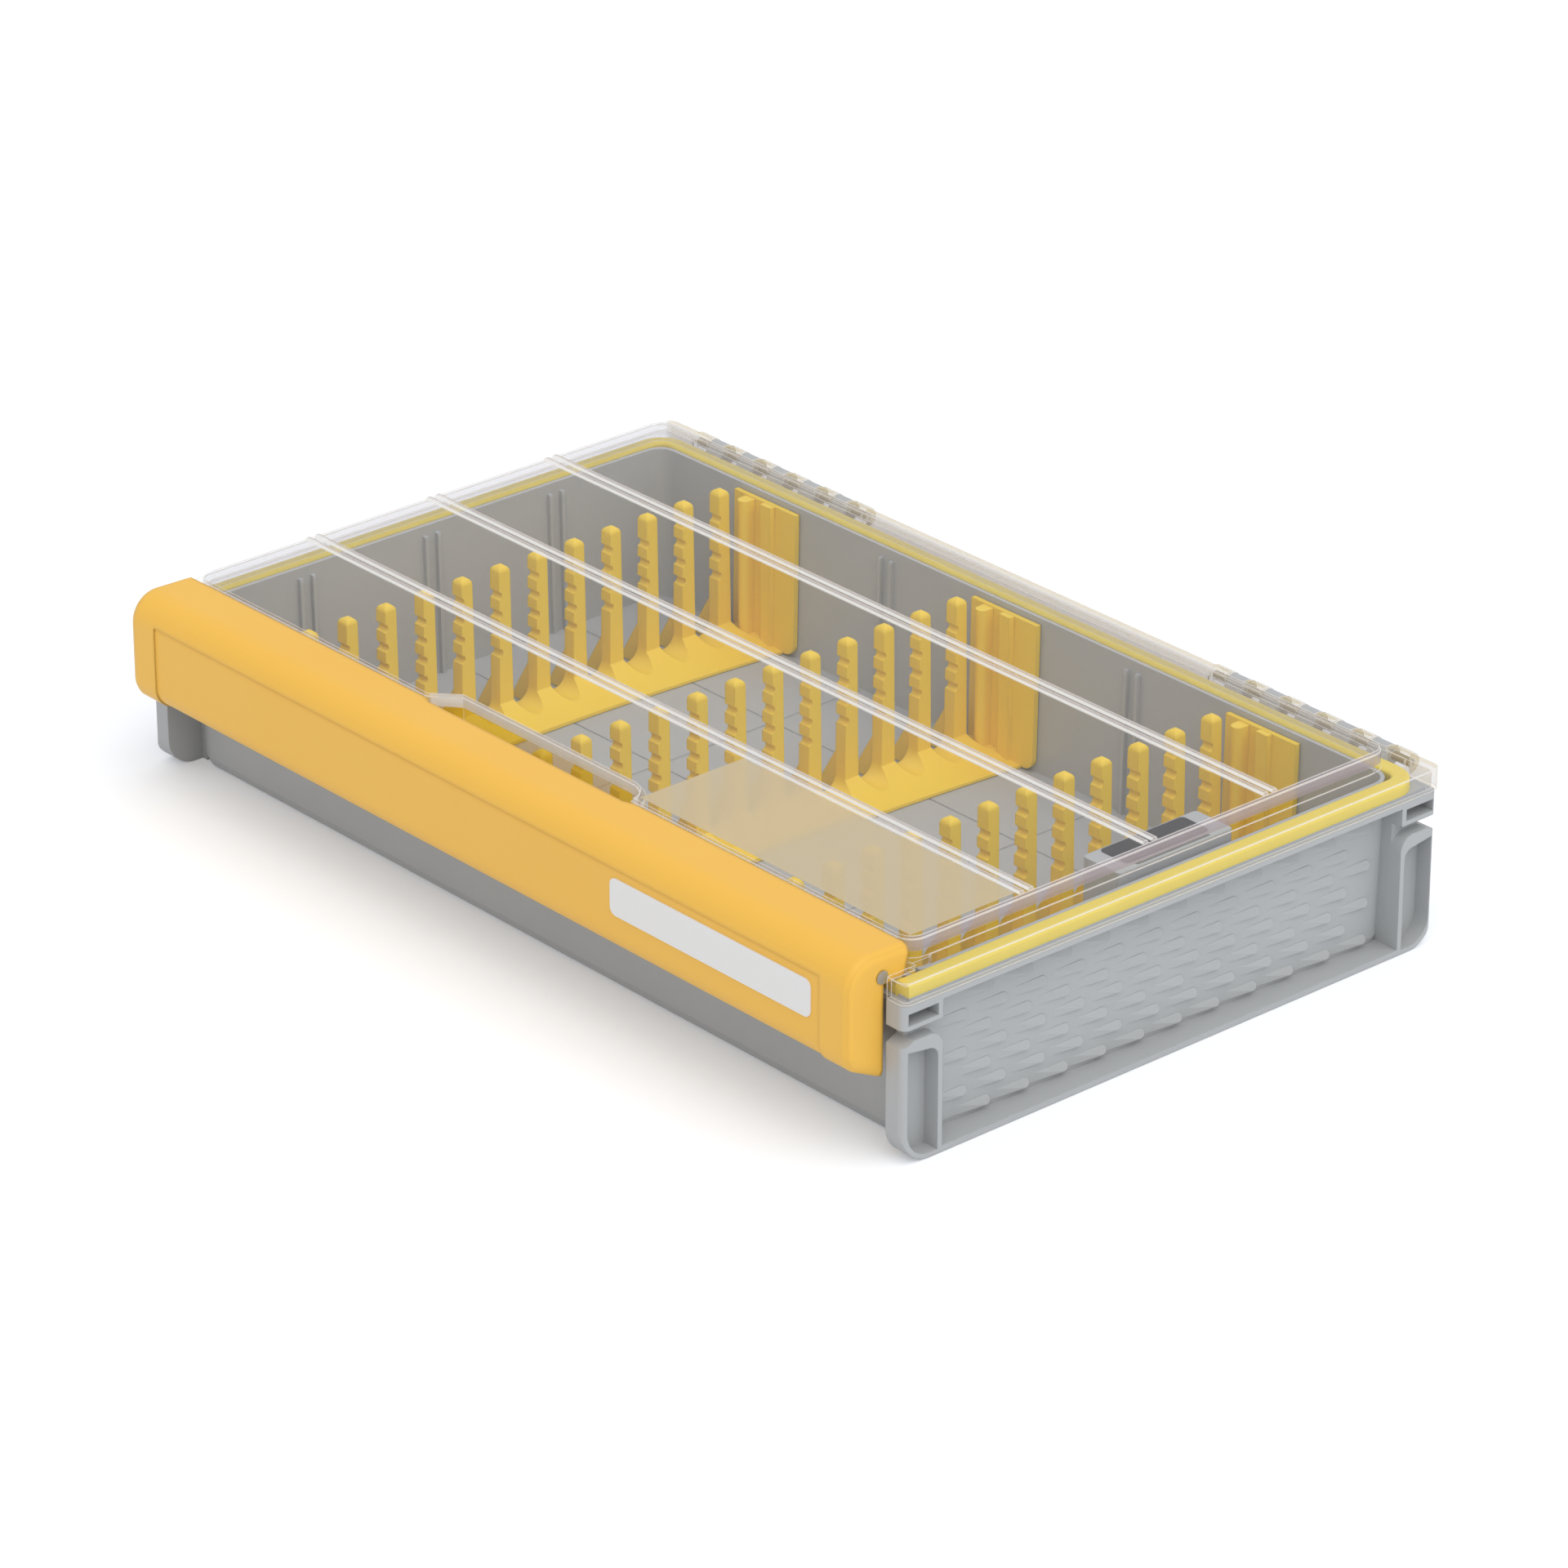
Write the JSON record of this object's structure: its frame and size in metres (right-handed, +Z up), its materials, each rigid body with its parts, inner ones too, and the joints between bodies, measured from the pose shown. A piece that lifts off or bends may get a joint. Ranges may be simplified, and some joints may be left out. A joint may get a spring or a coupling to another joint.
{
  "type": "spinnerbait box",
  "caption": "Long shallow tackle box with a sealed tray, a clear hinged lid, a full-width front latch, lift-out racks with notched tines and a moisture holder",
  "frame": {"origin": "the middle of the tray's flat underside", "axes": "X runs along the length of the box, Y from the latch at the front to the hinge at the rear, Z up"},
  "size_m": [0.3572, 0.2354, 0.0661],
  "materials": {
    "tray_plastic": "fine moulded texture, grey polypropylene",
    "seal_rubber": "smooth yellow rubber",
    "clear_plastic": "clear moulded plastic, with one frosted field",
    "latch_plastic": "satin yellow moulding",
    "rack_plastic": "satin yellow moulding",
    "pin_steel": "drawn stainless wire",
    "label_white": "white write-on film",
    "holder_plastic": "smooth grey moulding",
    "pack_fabric": "white paper fabric",
    "label_dark": "dark film, bare"
  },
  "bodies": {
    "tray_body": {"tray": "tray_plastic", "seal": "seal_rubber", "hinge_pin_left": "pin_steel", "hinge_pin_right": "pin_steel"},
    "lid_body": {"lid": "clear_plastic"},
    "latch_body": {"latch": "latch_plastic", "latch_label": "label_white", "latch_pin_left": "pin_steel", "latch_pin_right": "pin_steel"},
    "rack_left_body": {"rack_left": "rack_plastic"},
    "rack_middle_body": {"rack_middle": "rack_plastic"},
    "rack_right_body": {"rack_right": "rack_plastic"},
    "holder": {"holder_body": "holder_plastic", "holder_cover": "holder_plastic", "desiccant_pack": "pack_fabric", "holder_label": "label_dark"}
  },
  "joints": [
    {"name": "lid_hinge", "type": "hinge", "parent": "tray_body", "child": "lid_body", "pos_m": [0, 0.1102, 0.0546], "axis": [-1, 0, 0], "range_deg": [0, 120]},
    {"name": "latch_pivot", "type": "hinge", "parent": "lid_body", "child": "latch_body", "pos_m": [0, -0.109, 0.0584], "axis": [-1, 0, 0], "range_deg": [0, 18]},
    {"name": "rack_left_lift", "type": "slide", "parent": "tray_body", "child": "rack_left_body", "axis": [0, 0, 1], "range_m": [0, 0.002]},
    {"name": "rack_middle_lift", "type": "slide", "parent": "tray_body", "child": "rack_middle_body", "axis": [0, 0, 1], "range_m": [0, 0.002]},
    {"name": "rack_right_lift", "type": "slide", "parent": "tray_body", "child": "rack_right_body", "axis": [0, 0, 1], "range_m": [0, 0.002]},
    {"name": "holder_lift", "type": "slide", "parent": "tray_body", "child": "holder", "axis": [0, 0, 1], "range_m": [0, 0.0045]}
  ]
}
